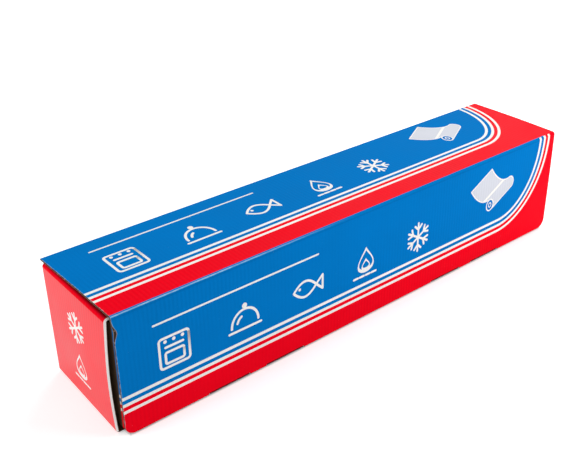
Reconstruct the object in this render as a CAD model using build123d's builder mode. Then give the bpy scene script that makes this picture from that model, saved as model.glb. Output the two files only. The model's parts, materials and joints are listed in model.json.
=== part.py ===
from build123d import *
import os
from math import atan2, cos, sin

# Dispensing carton of thin corrugated board with a hinged lid, a toothed cutter strip
# and a roll of foil on its core. Sizes are in millimetres.
# X runs along the carton, the front faces -Y, and the carton stands on Z = 0.

# Foil roll and core
foil_width = 450.0
roll_diameter = 72.0
core_bore = 38.0
core_wall = 2.4
core_overhang = 1.0
winding_gap = 0.1
turn_pitch = 2.6
turn_groove = 0.7
turn_groove_depth = 0.5
tail_thickness = 0.5
tail_start = 35.0
tail_sweep = 80.0

# Board and folds
board = 1.5
fold_radius = 1.6
fold_lap = 4.0

# Room round the roll and gaps between the folded panels
seat_gap = 0.3
side_room = 8.8
head_room = 22.2
end_room = 2.6
lid_gap = 0.4
hinge_gap = 0.3
lip_gap = 0.3
dust_gap = 0.4
end_back_gap = 0.5

# Lid front flap
flap_splay = 2.5
flap_foot = 0.8
flap_corner_radius = 8.0
notch_length = 38.0
notch_depth = 1.4
notch_bridge = 14.5
notch_pair_spacing = 235.0

# Tray walls, dust flaps and end panels
front_drop = 8.0
dust_width = 26.0
dust_tilt = 1.6
dust_corner_radius = 8.0
end_foot_radius = 3.0
end_top_radius = 2.0
end_lip = 6.0
end_splay = 3.0
end_setback = 3.0

# Cutter strip
blade_thickness = 0.3
blade_height = 10.0
blade_inset = 12.0
blade_edge_gap = 0.2
tooth_pitch = 4.0
tooth_depth = 2.0
clinch_diameter = 4.0
clinch_height = 0.4
clinch_spacing = 72.0

# Overall sizes that follow from the roll, the board and the gaps
inner_width = roll_diameter + 2 * side_room
carton_width = inner_width + 3 * board + lid_gap
overall_depth = carton_width + flap_splay
carton_height = board + seat_gap + roll_diameter + head_room + board
dust_x = foil_width / 2 + core_overhang + end_room + board / 2
end_x = dust_x + board + dust_gap
carton_length = 2 * end_x + board
tray_end = dust_x - fold_radius

# Middle planes of the panels, front to back
back_face = overall_depth / 2
back_y = back_face - board / 2
front_y = back_face - board - inner_width - board / 2
flap_y = front_y - board - lid_gap
flap_foot_y = flap_y - flap_splay
end_front_y = front_y - board / 2 + end_setback
end_back_y = back_y - board / 2 - end_back_gap

# Heights of the panels
floor_z = board / 2
hinge_z = carton_height - board / 2
back_top = carton_height - board - hinge_gap
front_top = carton_height - board - front_drop
lip_z = carton_height - board - lip_gap - board / 2
dust_foot = floor_z + end_foot_radius
back_dust_top = lip_z - board / 2 - lip_gap

# Roll axis
roll_y = back_face - board - inner_width / 2
roll_z = board + seat_gap + roll_diameter / 2
core_diameter = core_bore + 2 * core_wall
winding_radius = core_diameter / 2 + winding_gap

# Plane of the front flap: X along the carton, Y up the flap from its foot, Z outwards
splay_angle = atan2(flap_splay, hinge_z - flap_foot)
flap_plane = Plane(
    origin=(0, flap_foot_y, flap_foot),
    x_dir=(1, 0, 0),
    z_dir=(0, -cos(splay_angle), sin(splay_angle)),
)
blade_plane = flap_plane.offset(-board / 2 - blade_thickness)

# Turn of the end panels in plan, which stand off at their front edge
end_angle = atan2(end_splay, end_back_y - end_front_y)
end_length = (end_back_y - end_front_y) / cos(end_angle)


def short_edges(part, height):
    """Edges across the board's thickness whose middle lies at the given height."""
    across = part.edges().filter_by(lambda edge: abs(edge.length - board) < board / 10)
    return across.filter_by_position(Axis.Z, height - board / 10, height + board / 10)


os.makedirs("parts", exist_ok=True)

# Tray: back wall, floor and front wall in one section, then the flaps and panels folded at its ends
with BuildPart() as carton_body:
    with BuildSketch(Plane.YZ) as tray_section:
        with BuildLine() as tray_line:
            FilletPolyline(
                (back_y, back_top),
                (back_y, floor_z),
                (front_y, floor_z),
                (front_y, front_top),
                radius=fold_radius,
            )
        trace(line_width=board)
    extrude(amount=tray_end, both=True)

    for side in (-1, 1):
        # Dust flaps, folded in from the front wall and the back wall
        for wall_y, inwards, dust_top in ((front_y, 1, front_top), (back_y, -1, back_dust_top)):
            with BuildSketch(Plane.XY.offset(dust_foot)) as dust_section:
                with BuildLine() as dust_line:
                    FilletPolyline(
                        (side * (tray_end - fold_lap), wall_y),
                        (side * dust_x, wall_y),
                        (side * (dust_x - dust_tilt), wall_y + inwards * dust_width),
                        radius=fold_radius,
                    )
                trace(line_width=board)
            extrude(amount=dust_top - dust_foot)

        # End panel, folded up from the floor, with a lip folded in under the lid
        end_plane = Plane(
            origin=(side * end_x, end_back_y, 0),
            x_dir=(side * cos(end_angle), sin(end_angle), 0),
            z_dir=(sin(end_angle), -side * cos(end_angle), 0),
        )
        with BuildSketch(end_plane) as end_section:
            with BuildLine() as end_line:
                FilletPolyline(
                    (tray_end - fold_lap - end_splay - end_x, floor_z),
                    (0, floor_z),
                    (0, lip_z),
                    (-end_lip, lip_z),
                    radius=(end_foot_radius, end_top_radius),
                )
            trace(line_width=board)
        extrude(amount=side * end_length)

    # Round corners at the free edges of the dust flaps
    dust_corners = short_edges(carton_body.part, front_top) + short_edges(carton_body.part, back_dust_top)
    dust_corners = dust_corners.filter_by_position(Axis.Y, front_y + board, back_y - board)
    fillet(dust_corners, radius=dust_corner_radius)
carton_body.part.label = "carton_body"

# Lid: top panel and front flap in one section, with a rounded rear edge to turn on
with BuildPart() as lid:
    with BuildSketch(Plane.YZ) as lid_section:
        with BuildLine() as lid_line:
            FilletPolyline(
                (back_y, hinge_z),
                (flap_y, hinge_z),
                (flap_foot_y, flap_foot),
                radius=fold_radius,
            )
        trace(line_width=board)
        with Locations((back_y, hinge_z)):
            Circle(board / 2)
    extrude(amount=carton_length / 2, both=True)
    flap_corners = lid.edges().filter_by(lambda edge: abs(edge.length - board) < board / 10)
    fillet(flap_corners.group_by(Axis.Z)[0], radius=flap_corner_radius)
    # Two pairs of shallow notches in the lower edge of the flap
    with BuildSketch(flap_plane) as notches:
        with GridLocations(notch_pair_spacing, 0, 2, 1):
            with GridLocations(notch_length + notch_bridge, 0, 2, 1):
                SlotOverall(notch_length, 2 * notch_depth)
    extrude(amount=board, both=True, mode=Mode.SUBTRACT)
lid.part.label = "lid"

# Cutter strip: a toothed lower edge and a row of clinched bosses
blade_half = carton_length / 2 - blade_inset
tooth_count = int(2 * blade_half / tooth_pitch)
tooth_width = 2 * blade_half / tooth_count
tooth_line = []
for tooth in range(tooth_count):
    tooth_start = -blade_half + tooth * tooth_width
    tooth_line.append((tooth_start, blade_edge_gap + tooth_depth))
    tooth_line.append((tooth_start + tooth_width / 2, blade_edge_gap))
tooth_line.append((blade_half, blade_edge_gap + tooth_depth))

with BuildPart() as cutter_blade:
    with BuildSketch(blade_plane) as blade_face:
        with BuildLine() as blade_outline:
            Polyline(
                *tooth_line,
                (blade_half, blade_edge_gap + blade_height),
                (-blade_half, blade_edge_gap + blade_height),
                close=True,
            )
        make_face()
    extrude(amount=blade_thickness)
    clinch_count = int(2 * blade_half / clinch_spacing)
    with BuildSketch(blade_plane) as clinch_face:
        with Locations((0, blade_edge_gap + (tooth_depth + blade_height) / 2)):
            with GridLocations(clinch_spacing, 0, clinch_count, 1):
                Circle(clinch_diameter / 2)
    extrude(amount=-clinch_height, taper=45)
cutter_blade.part.label = "cutter_blade"

# Foil roll: the turns as one solid, ringed at both ends, with the loose end of the sheet on top
with BuildPart() as foil_roll:
    with BuildSketch(Plane.YZ) as roll_section:
        with Locations((roll_y, roll_z)):
            Circle(roll_diameter / 2)
            Circle(winding_radius, mode=Mode.SUBTRACT)
    extrude(amount=foil_width / 2, both=True)

    with BuildSketch(Plane.YZ) as tail_section:
        with BuildLine() as tail_outline:
            axis_point = (roll_y, roll_z)
            inner_arc = CenterArc(axis_point, roll_diameter / 2 - tail_thickness, tail_start, tail_sweep)
            outer_arc = CenterArc(axis_point, roll_diameter / 2 + tail_thickness, tail_start, tail_sweep)
            Line(inner_arc @ 0, outer_arc @ 0)
            Line(inner_arc @ 1, outer_arc @ 1)
        make_face()
    extrude(amount=foil_width / 2, both=True)

    turn_count = int((roll_diameter / 2 - winding_radius) / turn_pitch)
    for side in (-1, 1):
        with BuildSketch(Plane.YZ.offset(side * foil_width / 2)) as turn_rings:
            with Locations((roll_y, roll_z)):
                for turn in range(turn_count - 1):
                    ring_radius = roll_diameter / 2 - (turn + 1) * turn_pitch
                    Circle(ring_radius)
                    Circle(ring_radius - turn_groove, mode=Mode.SUBTRACT)
        extrude(amount=-side * turn_groove_depth, mode=Mode.SUBTRACT)
foil_roll.part.label = "foil_roll"

# Core tube, a little longer than the foil is wide
with BuildPart() as core_tube:
    with BuildSketch(Plane.YZ) as core_section:
        with Locations((roll_y, roll_z)):
            Circle(core_diameter / 2)
            Circle(core_bore / 2, mode=Mode.SUBTRACT)
    extrude(amount=foil_width / 2 + core_overhang, both=True)
core_tube.part.label = "core_tube"

for piece in (carton_body, lid, cutter_blade, foil_roll, core_tube):
    export_step(piece.part, f"parts/{piece.part.label}.step")
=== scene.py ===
"""Looks of a foil roll dispensing carton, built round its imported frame.

Lengths are in metres. X runs along the carton, the front flap of the lid faces -Y and the carton
stands on Z = 0. A board is a sheet carried along a folded section line: a point of it has a level,
its distance along that line, and a lift, its height above the middle of the board.
"""

import json
from collections import namedtuple
from math import cos, pi, radians, sin

import bmesh
import bpy
import numpy as np
from bpy.props import FloatProperty, FloatVectorProperty, PointerProperty
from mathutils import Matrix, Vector


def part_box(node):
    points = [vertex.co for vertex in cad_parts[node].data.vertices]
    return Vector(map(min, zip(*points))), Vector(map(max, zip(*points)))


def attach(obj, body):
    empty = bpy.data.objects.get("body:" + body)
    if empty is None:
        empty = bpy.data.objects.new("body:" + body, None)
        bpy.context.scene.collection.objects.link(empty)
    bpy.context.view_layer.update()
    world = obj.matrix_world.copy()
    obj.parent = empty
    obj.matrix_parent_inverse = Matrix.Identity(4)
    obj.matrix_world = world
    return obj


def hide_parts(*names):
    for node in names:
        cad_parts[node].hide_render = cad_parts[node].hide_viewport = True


bl_info = {
    "name": "Foil Roll Carton",
    "version": (1, 0, 0),
    "blender": (4, 5, 0),
    "location": "View3D > Sidebar > Foil Carton",
    "description": "Builds the board, print, roll and stage of a foil roll dispensing carton",
    "category": "Object",
}

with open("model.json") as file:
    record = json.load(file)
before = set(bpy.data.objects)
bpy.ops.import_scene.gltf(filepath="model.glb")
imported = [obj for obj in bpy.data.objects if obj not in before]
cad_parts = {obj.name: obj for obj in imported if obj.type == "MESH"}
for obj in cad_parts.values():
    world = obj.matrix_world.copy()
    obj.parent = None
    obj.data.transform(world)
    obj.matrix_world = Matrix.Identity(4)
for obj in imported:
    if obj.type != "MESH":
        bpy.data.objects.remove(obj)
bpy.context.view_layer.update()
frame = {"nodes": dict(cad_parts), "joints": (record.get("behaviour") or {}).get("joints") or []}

MM = 0.001

# Places that the frame gives
lid_low, lid_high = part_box("lid")
tray_low, tray_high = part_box("carton_body")
roll_low, roll_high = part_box("foil_roll")
core_low, core_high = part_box("core_tube")
hinge = Vector(frame["joints"][0]["pos_m"])
board_thickness = 2 * (lid_high.z - hinge.z)
roll_radius = (roll_high.y - roll_low.y) / 2
roll_axis = Vector((0, (roll_low.y + roll_high.y) / 2, roll_low.z + roll_radius))
core_radius = (core_high.z - core_low.z) / 2

# Mesh steps
ROW_STEP = 2.5 * MM
COLUMN_STEP = 4.0 * MM
RING_STEP = 0.35 * MM
FOLD_STEPS = 10
ROUND_STEPS = 5
SPLIT_STEPS = 8
TORN_STEPS = 24
STROKE_STEPS = 6
FRAME_STEPS = 48
DROP_STEPS = 60
FLAT_STEPS = 80
CURVE_STEPS = 120
ROLL_STEPS = 180
BARREL_STEPS = 90
CORE_STEPS = 120
MERGE_DISTANCE = 1e-6
SHARP_ANGLE = radians(35)

# Finishes of a board, by the number of its material. The lid has torn paper in painted shade for
# bare board.
PRINTED, LINER, CUT_EDGE, SIDE_EDGE, BARE, END_PRINT, END_FOLD, WHITE_EDGE = range(8)
TORN_SHADE = BARE

SectionLine = namedtuple("SectionLine", "points normals distance folds")
Shell = namedtuple("Shell", "points quads corners finishes")


def length(label, description, default):
    """Length property whose default is given in millimetres."""
    return FloatProperty(
        name=label, description=description, default=default * MM, subtype="DISTANCE", precision=5
    )


def amount(label, description, default, subtype="NONE"):
    """Number property."""
    return FloatProperty(name=label, description=description, default=default, subtype=subtype)


def angle(label, description, degrees):
    """Angle property whose default is given in degrees."""
    return amount(label, description, radians(degrees), "ANGLE")


def linear(red, green, blue):
    """Linear colour of an 8-bit display colour.

    A channel c from 0 to 1 becomes ((c + 0.055) / 1.055) ** 2.4, or c / 12.92 near black.
    """
    shown = np.array([red, green, blue]) / 255
    light = np.where(shown > 0.04045, ((shown + 0.055) / 1.055) ** 2.4, shown / 12.92)
    return tuple(float(channel) for channel in light)


def colour(label, description, display):
    """Colour property whose default is given as an 8-bit display colour."""
    return FloatVectorProperty(
        name=label, description=description, default=linear(*display),
        subtype="COLOR", size=3, min=0, max=1,
    )


class CartonSizes(bpy.types.PropertyGroup):
    """Sizes of the board, its folds and its cut lines."""

    board: length("Board", "Thickness of the corrugated board", board_thickness / MM)
    fold_radius: length("Fold radius", "Radius of a fold at the middle of the board", 1.6)
    flute_pitch: length("Flute pitch", "Distance between the flutes of the board", 3.3)
    flap_splay: length("Flap splay", "Way that the foot of the front flap stands out", 2.5)
    flap_corner: length("Flap corner", "Radius of the lower corners of the front flap", 8.0)
    notch_length: length("Notch length", "Length of a notch in the lower edge of the flap", 38.0)
    notch_depth: length("Notch depth", "Depth of a notch", 1.4)
    notch_pair: length("Notch pair", "Distance of a pair of notches from the middle", 117.5)
    notch_step: length("Notch step", "Distance between the two notches of a pair", 52.5)
    # The notches hold strips of torn paper coloured in painted shade
    torn_setback: length(
        "Torn setback", "Way that the torn paper in a notch lies behind the flap's face", 0.2
    )
    torn_ragged: length("Torn ragged", "Unevenness of the torn paper's lower edge", 0.12)
    top_crown: length("Top crown", "Rise of the top panel between its folds", 0.5)
    flap_bow: length("Flap bow", "Bow of the front flap between its fold and its foot", 0.45)
    dent_level: length("Dent level", "Distance of the split edge below the top fold", 13.0)
    dent_reach: length("Dent reach", "Half height of the split edge", 4.6)
    dent_depth: length("Dent depth", "Way that the print is drawn in at the split edge", 2.9)
    dent_width: length("Dent width", "Width over which the dent fades", 9.0)
    left_inset: length(
        "Left inset", "Way that the left edge of the flap stands in below the split", 0.6
    )
    rear_reach: length("Rear reach", "Way that the rear left corner of the lid stands out", 1.3)
    front_top: length("Front wall top", "Height of the front wall of the tray", 88.0)
    end_room: length("End room", "Space between the core and the dust flaps", 2.6)
    end_foot_radius: length(
        "End foot radius", "Radius of the fold at the foot of an end panel", 2.0
    )
    end_top_radius: length("End top radius", "Radius of the fold at the top of an end panel", 2.0)
    front_lean: length("Front lean", "Way that the front wall leans out at its foot", 0.6)
    end_lip: length("End lip", "Width of the lip folded in under the lid", 6.0)
    end_setback: length(
        "End setback", "Distance of an end panel's front edge behind the front wall", 2.5
    )
    end_foot_splay: length(
        "End foot splay", "Way that an end panel stands off at the front of its foot", 2.5
    )
    end_top_splay: length(
        "End top splay", "Way that an end panel stands off at the front of its top", 2.4
    )
    end_bow: length("End bow", "Outward bow of an end panel's front edge", 2.0)
    end_bevel: length("End bevel", "Slant of an end panel's front edge across the board", 1.0)
    end_back_gap: length("End back gap", "Gap between an end panel and the back wall", 0.5)
    lip_gap: length("Lip gap", "Gap between the lip and the lid over it", 1.8)
    dust_width: length("Dust flap width", "Width of the dust flaps", 26.0)
    dust_tilt: length("Dust flap tilt", "Way that a dust flap leans inwards", 1.6)
    dust_print: length("Dust flap print", "Width of the print past the fold of a dust flap", 0.1)
    dust_corner: length("Dust flap corner", "Radius of a dust flap's free corner", 8.0)
    dust_foot: length("Dust flap foot", "Height of the lower edge of the dust flaps", 3.75)
    dust_gap: length("Dust flap gap", "Gap between the lip and the dust flap of the back wall", 0.3)
    foil_wrinkle: length("Foil wrinkle", "Height of the soft waves in the wound foil", 0.05)
    tail_thickness: length("Tail thickness", "Step at the loose end of the foil", 0.5)
    tail_start: angle("Tail start", "Angle at which the loose end leaves the roll", 35)
    tail_ramp: angle("Tail ramp", "Angle over which the loose end rises", 14)
    tail_end: angle("Tail end", "Angle of the loose edge of the foil", 115)
    turn_pitch: length(
        "Turn pitch", "Distance between the rings that show at the ends of the roll", 2.6
    )
    turn_groove: length("Turn groove", "Depth of the rings at the ends of the roll", 0.5)
    winding_gap: length("Winding gap", "Gap between the core and the wound foil", 0.1)
    core_wall: length("Core wall", "Thickness of the core's wall", 2.4)
    ply_pitch: length("Ply pitch", "Rise of the paper plies of the core in one turn", 95.0)


class PrintLayout(bpy.types.PropertyGroup):
    """Places of the print, with levels measured up from the lower edge of a panel."""

    stripe_low: length("Lowest stripe", "Level of the lower edge of the lowest stripe", 18.6)
    stripe_width: length("Stripe width", "Width of a white stripe", 2.5)
    stripe_pitch: length("Stripe pitch", "Distance from one stripe to the next", 5.6)
    field_level: length("Field level", "Level at which red gives way to blue", 25.6)
    curve_start: length(
        "Curve start", "Place along the carton where the stripes begin to rise", 158.2
    )
    curve_centre: length("Curve centre", "Level of the middle of the rising curves", 96.6)
    curve_reach: length(
        "Curve reach", "Reach of the lowest stripe's lower edge past the curve's start", 66.8
    )
    curve_taper: amount("Curve taper", "Loss of reach for each metre of level", 1.09)
    top_start: length(
        "Top curve start", "Place where the stripes of the top panel begin to rise", 161.6
    )
    top_reach: length(
        "Top curve reach", "Reach of the lowest stripe's lower edge on the top panel", 60.6
    )
    top_shift: length("Top shift", "Way that the stripes of the top panel lie nearer its fold", 0.7)
    stripe_margin: length("Stripe margin", "Gap between a stripe's end and the panel's top", 0.4)
    ink_lift: length("Ink lift", "Height of the white ink over the board", 0.03)
    ink_root: length("Ink root", "Depth of the white ink in the board", 0.05)
    row_level: length("Pictogram level", "Level of the middle of the row of pictograms", 52.0)
    row_start: length("Pictogram start", "Place of the first pictogram", -188.0)
    row_step: length("Pictogram step", "Distance from one pictogram to the next", 60.0)
    row_scale: amount("Pictogram scale", "Size of a pictogram in the row", 1.3)
    end_high: length("Upper end pictogram", "Height of the upper pictogram of an end panel", 64.0)
    end_low: length("Lower end pictogram", "Height of the lower pictogram of an end panel", 30.0)
    end_scale: amount("End pictogram scale", "Size of an end panel's pictograms", 1.2)
    rule_level: length("Rule level", "Level of the thin rule over the pictograms", 77.0)
    rule_start: length("Rule start", "Left end of the thin rule", -203.0)
    rule_end: length("Rule end", "Right end of the thin rule", -58.0)
    roll_sign_place: length("Roll sign place", "Place of the small roll along the carton", 147.0)
    roll_sign_level: length("Roll sign level", "Level of the small roll", 64.0)


class CartonColours(bpy.types.PropertyGroup):
    """Colours of the print, the papers and the metals."""

    blue: colour("Blue", "Blue field of the print", (0, 121, 200))
    red: colour("Red", "Red field of the print", (249, 2, 30))
    white: colour("White", "White ink", (250, 248, 244))
    pale: colour("Pale", "Pale tint of the small roll", (216, 219, 228))
    worn: colour("Worn", "Ink cracked to its paper along a fold", (165, 212, 244))
    kraft: colour("Kraft", "Inner paper of the board", (118, 92, 68))
    edge: colour("Edge", "Cut edge of the board", (148, 122, 102))
    # Painted shade: the dark of a flute's hollow seen in a cut edge
    hollow_shade: colour("Edge shade", "Hollow of a flute in a cut edge", (52, 40, 34))
    bare: colour("Bare", "Unprinted outer paper", (232, 228, 220))
    rim: colour("Rim", "White edge of the end panels", (255, 255, 253))
    # Painted shade: dark red given to the lip under the lid's edge and to the strips in the notches
    painted_shade_red: colour("Soil", "Dulled red under the edge of the lid and in its notches", (92, 6, 14))
    core: colour("Core", "Paper of the core", (172, 146, 116))
    foil: colour("Foil", "Bright foil", (206, 208, 212))
    steel: colour("Steel", "Cutter strip", (196, 198, 202))
    floor: colour("Floor", "Floor of the stage", (244, 244, 244))


class StageSettings(bpy.types.PropertyGroup):
    """Camera and lights."""

    target: FloatVectorProperty(
        name="Target", description="Point that the camera looks at",
        default=(-50.5 * MM, 1.25 * MM, 78.75 * MM), subtype="TRANSLATION", size=3,
    )
    azimuth: angle("Azimuth", "Turn of the camera from the front", -39.72)
    elevation: angle("Elevation", "Rise of the camera", 28.91)
    distance: length("Distance", "Distance of the camera from its target", 701.8)
    lens: amount("Lens", "Focal length", 56.41, "DISTANCE_CAMERA")
    sky: amount("Sky", "Strength of the even light from all round", 0.33)
    key_power: amount("Key", "Power of the light at the front right", 5.9, "POWER")
    fill_power: amount("Fill", "Power of the large light at the left", 14.0, "POWER")
    back_power: amount("Back", "Power of the large light at the back", 14.0, "POWER")
    floor_reach: length("Floor reach", "Half the width of the floor", 6000.0)
    floor_drop: length("Floor drop", "Gap between the carton and the floor", 0.2)
    floor_glow: amount("Floor glow", "White added to the floor as the camera sees it", 0.45)
    far_glow: amount("Far glow", "White added to the floor far from the carton", 0.3)


# Section lines and shells


def folded_line(corners, radius, step):
    """Line through the corners with each inner corner folded to its radius.

    A run stops radius * tan(turn / 2) short of its corner, and an arc tangent to both runs takes
    it on. Normals lie to the right of the way along. Folds are the distances at which each arc
    starts and ends.
    """
    corners = np.asarray(corners, float)
    ways = np.diff(corners, axis=0)
    ways = ways / np.linalg.norm(ways, axis=1)[:, None]
    rights = np.stack([ways[:, 1], -ways[:, 0]], axis=1)
    crossed = ways[:-1, 0] * ways[1:, 1] - ways[:-1, 1] * ways[1:, 0]
    turns = np.arctan2(crossed, (ways[:-1] * ways[1:]).sum(axis=1))
    radii = np.broadcast_to(radius, len(turns))
    trims = radii * np.tan(np.abs(turns) / 2)
    starts = corners[:-1] + ways * np.append(0, trims)[:, None]
    ends = corners[1:] - ways * np.append(trims, 0)[:, None]
    points, normals, fold_rows = [], [], []
    row = 0
    for run, (start, end) in enumerate(zip(starts, ends)):
        count = max(2, int(np.ceil(np.linalg.norm(end - start) / step)) + 1)
        points.append(np.linspace(start, end, count))
        normals.append(np.repeat(rights[run][None], count, axis=0))
        row += count
        if run < len(turns):
            turned = np.linspace(0, turns[run], FOLD_STEPS + 1)[1:-1, None]
            across = np.array([-rights[run][1], rights[run][0]])
            normal = rights[run] * np.cos(turned) + across * np.sin(turned)
            side = np.sign(turns[run])
            centre = end - side * radii[run] * rights[run]
            points.append(centre + side * radii[run] * normal)
            normals.append(normal)
            fold_rows.append((row - 1, row + FOLD_STEPS - 1))
            row += FOLD_STEPS - 1
    points = np.concatenate(points)
    distance = np.append(0, np.cumsum(np.linalg.norm(np.diff(points, axis=0), axis=1)))
    folds = [(distance[first], distance[last]) for first, last in fold_rows]
    return SectionLine(points, np.concatenate(normals), distance, folds)


def on_line(line, level, lift):
    """Both coordinates of points at a level along a line, lifted off it along its normal."""
    places = []
    for axis in (0, 1):
        place = np.interp(level, line.distance, line.points[:, axis])
        normal = np.interp(level, line.distance, line.normals[:, axis])
        places.append(place + lift * normal)
    return places


def corner_cut(into, radius):
    """Height lost in a round corner: r - sqrt(r^2 - a^2), for a way a of 0 to r into it."""
    into = np.clip(into, 0, radius)
    return radius - np.sqrt(radius**2 - into**2)


def grid_faces(index, uv, finish):
    """Quads of a grid of point numbers, with their corners' surface coordinates and finish."""
    first, last = slice(None, -1), slice(1, None)
    corners = [(first, first), (first, last), (last, last), (last, first)]
    quads = np.stack([index[corner] for corner in corners], axis=-1).reshape(-1, 4)
    places = np.stack([uv[corner] for corner in corners], axis=-2).reshape(-1, 4, 2)
    finishes = np.broadcast_to(finish, (index.shape[0] - 1, index.shape[1] - 1)).reshape(-1)
    return quads, places, finishes


def edge_uv(along):
    """Surface coordinates of an edge strip: the way along it, and 0 to 1 across the board."""
    across = np.repeat([[0.0], [1.0]], len(along), axis=1)
    return np.stack([np.tile(along, (2, 1)), across], axis=-1)


def board_shell(
    outer, inner, uv, face=PRINTED, back=LINER, ends=CUT_EDGE, sides=SIDE_EDGE, pinched=False
):
    """Closed sheet between two grids of points, whose rows run along the section line.

    Strips join the grids along the last row, the two outer columns and, unless it is pinched, the
    first row.
    """
    rows, columns = outer.shape[:2]
    top = np.arange(rows * columns).reshape(rows, columns)
    under = top + rows * columns
    patches = [
        grid_faces(top, uv, face),
        grid_faces(under, uv, back),
        grid_faces(np.stack([top[-1], under[-1]]), edge_uv(uv[-1, :, 0]), ends),
        grid_faces(np.stack([top[:, 0], under[:, 0]]), edge_uv(uv[:, 0, 1]), sides),
        grid_faces(np.stack([top[:, -1], under[:, -1]]), edge_uv(uv[:, -1, 1]), sides),
    ]
    if not pinched:
        patches.append(grid_faces(np.stack([top[0], under[0]]), edge_uv(uv[0, :, 0]), ends))
    points = np.concatenate([outer.reshape(-1, 3), inner.reshape(-1, 3)])
    return Shell(points, *(np.concatenate(part) for part in zip(*patches)))


def ring_shell(profile, swell, angles):
    """Closed body turned about the roll's axis, from a closed profile of (x, radius) points.

    A point lies at x, with y and z at radius + swell from the axis, turned by its angle.
    """
    radius = profile[:, 1:] + swell
    x = np.broadcast_to(profile[:, :1], radius.shape)
    y = roll_axis.y + radius * np.cos(angles)
    z = roll_axis.z + radius * np.sin(angles)
    rows, columns = radius.shape
    index = np.pad(np.arange(rows * columns).reshape(rows, columns), ((0, 1), (0, 1)), mode="wrap")
    steps = np.diff(profile, axis=0, append=profile[:1])
    way = np.append(0, np.cumsum(np.linalg.norm(steps, axis=1)))
    around = np.append(angles, angles[0] + 2 * pi) * profile[:, 1].max()
    uv = np.stack(np.meshgrid(around, way), axis=-1)
    return Shell(np.stack([x, y, z], axis=-1).reshape(-1, 3), *grid_faces(index, uv, 0))


def make_piece(name, shells, materials, merged=False):
    """Mesh object of closed shells, with their surface coordinates and finishes, faces outwards."""
    starts = np.append(0, np.cumsum([len(shell.points) for shell in shells]))
    quads = np.concatenate([shell.quads + start for shell, start in zip(shells, starts)])
    points = np.concatenate([shell.points for shell in shells])
    mesh = bpy.data.meshes.new(name)
    mesh.from_pydata(points.tolist(), [], quads.tolist())
    corners = np.concatenate([shell.corners for shell in shells])
    mesh.uv_layers.new(name="Surface").data.foreach_set("uv", corners.astype(np.float32).ravel())
    finishes = np.concatenate([shell.finishes for shell in shells])
    mesh.polygons.foreach_set("material_index", finishes.astype(np.int32))
    surface = bmesh.new()
    surface.from_mesh(mesh)
    if merged:
        bmesh.ops.remove_doubles(surface, verts=surface.verts, dist=MERGE_DISTANCE)
    bmesh.ops.recalc_face_normals(surface, faces=surface.faces)
    surface.to_mesh(mesh)
    surface.free()
    mesh.shade_smooth()
    mesh.set_sharp_from_angle(angle=SHARP_ANGLE)
    for material in materials:
        mesh.materials.append(material)
    piece = bpy.data.objects.new(name, mesh)
    bpy.context.scene.collection.objects.link(piece)
    return piece


# Lid

# Distance past the start of the top fold at which the top's print meets the flap's
PRINT_MEET = 0.2 * MM

# Lengths over 2 pi of the waves along the top, along the flap and in a torn edge
TOP_WAVE = 37 * MM
FLAP_WAVE = 46 * MM
TORN_WAVE = 1.1 * MM

# Distance of the torn paper's back from the flap's liner
TORN_BACK = 0.1 * MM


def lid_line(sizes):
    """Section of the lid at the middle of its board: the hinge, the top fold, the flap's foot."""
    foot_y = lid_low.y + sizes.board / 2
    corners = [(hinge.y, hinge.z), (foot_y + sizes.flap_splay, hinge.z), (foot_y, lid_low.z)]
    return folded_line(corners, sizes.fold_radius, ROW_STEP)


def top_fold(line):
    """Level at which the top's print meets the flap's."""
    return line.folds[0][0] + PRINT_MEET


def lid_swell(sizes, line, x, level):
    """Outward bow of the lid's panels: a half sine between the folds, a little uneven along x."""
    fold, foot = top_fold(line), line.distance[-1]
    before = np.clip(level / fold, 0, 1)
    top = sizes.top_crown * np.sin(pi * before) * (0.8 + 0.2 * np.cos(x / TOP_WAVE + 0.5))
    below = np.clip((level - fold) / (foot - fold), 0, 1)
    flap = sizes.flap_bow * np.sin(pi * below) * (0.7 + 0.3 * np.cos(x / FLAP_WAVE - 0.9))
    return np.where(level < fold, top, flap)


def left_inset(sizes, line, x, level):
    """Way that the lid's left edge stands in, fading along the lid.

    It is negative at the rear corner, grows evenly to nothing at the fold and in a smooth step
    below it.
    """
    step = np.clip((level - top_fold(line)) / (2 * sizes.dent_level), 0, 1)
    rear = np.clip(1 - level / top_fold(line), 0, 1)
    near = np.clip(1 - (x - lid_low.x) / (4 * sizes.dent_width), 0, 1)
    return near * (sizes.left_inset * step**2 * (3 - 2 * step) - sizes.rear_reach * rear)


def lid_surface(sizes, x, level, lift):
    """Points of the lid at x and at a level of its section, lifted off the board's middle."""
    line = lid_line(sizes)
    y, z = on_line(line, level, lift + lid_swell(sizes, line, x, level))
    return np.stack(np.broadcast_arrays(x + left_inset(sizes, line, x, level), y, z), axis=-1)


def notch_centres(sizes):
    """Places of the two notches on the right half of the flap."""
    return sizes.notch_pair + np.array([-0.5, 0.5]) * sizes.notch_step


def flap_foot_level(sizes, x):
    """Level at which the flap ends: its foot, less round corners and four round-ended notches."""
    corner = corner_cut(np.abs(x) - (lid_high.x - sizes.flap_corner), sizes.flap_corner)
    depth = sizes.notch_depth
    beyond = np.abs(np.abs(x)[:, None] - notch_centres(sizes)) - (sizes.notch_length / 2 - depth)
    notch = depth - corner_cut(beyond, depth)
    return lid_line(sizes).distance[-1] - np.maximum(corner, notch.max(axis=1))


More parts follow.
